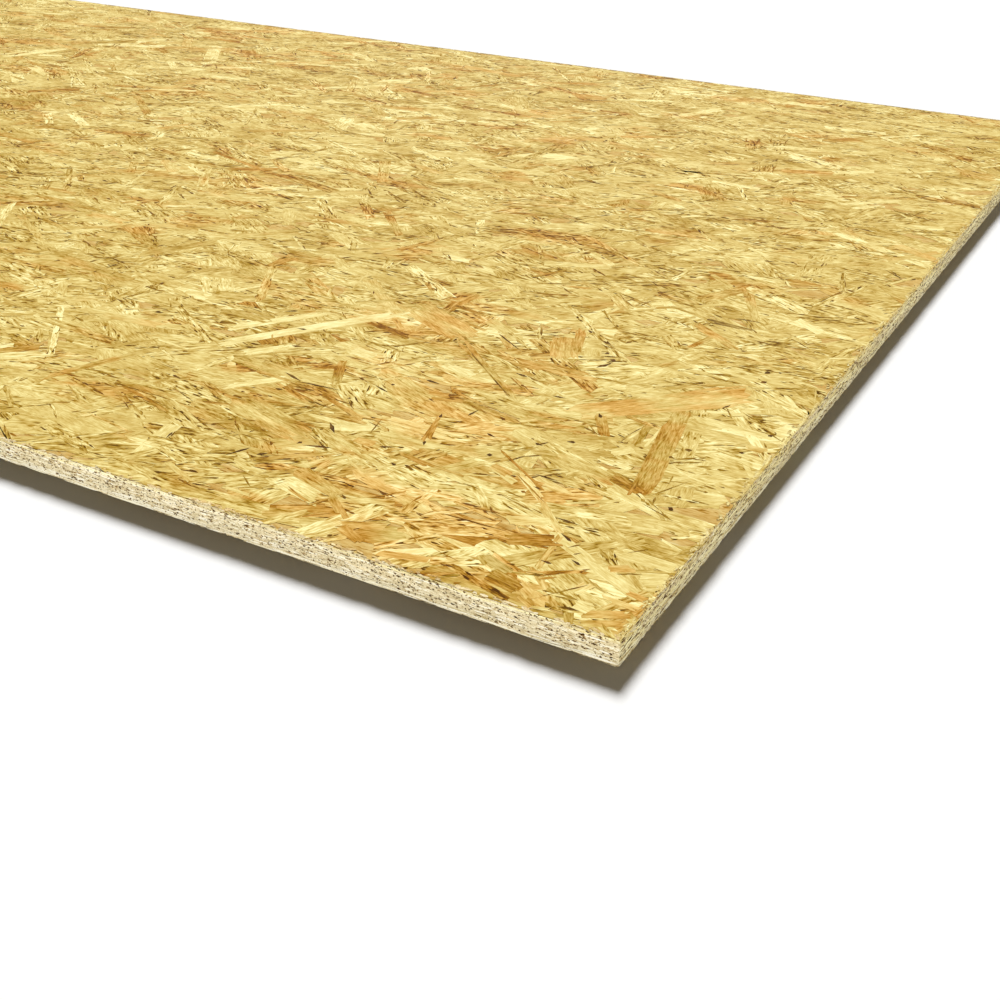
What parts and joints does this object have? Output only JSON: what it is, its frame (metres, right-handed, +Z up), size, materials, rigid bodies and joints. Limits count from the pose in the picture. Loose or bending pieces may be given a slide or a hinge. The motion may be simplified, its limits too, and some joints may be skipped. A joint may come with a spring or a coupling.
{
  "type": "osb panel",
  "caption": "Flat square-edged oriented strand board sheet of pressed wood strands, laid on joists, fixed to studs or rafters, or cut up for packing",
  "frame": {"origin": "middle of the underside, where the panel rests on the floor", "axes": "X along the length and the face strands, Y across the width, Z up through the thickness"},
  "size_m": [2.44, 1.22, 0.018],
  "materials": {
    "pressed_strands": "unsanded pressed strands, matt with a faint resin sheen, edges sawn square"
  },
  "bodies": {
    "root": {"osb_panel": "pressed_strands"}
  },
  "joints": []
}
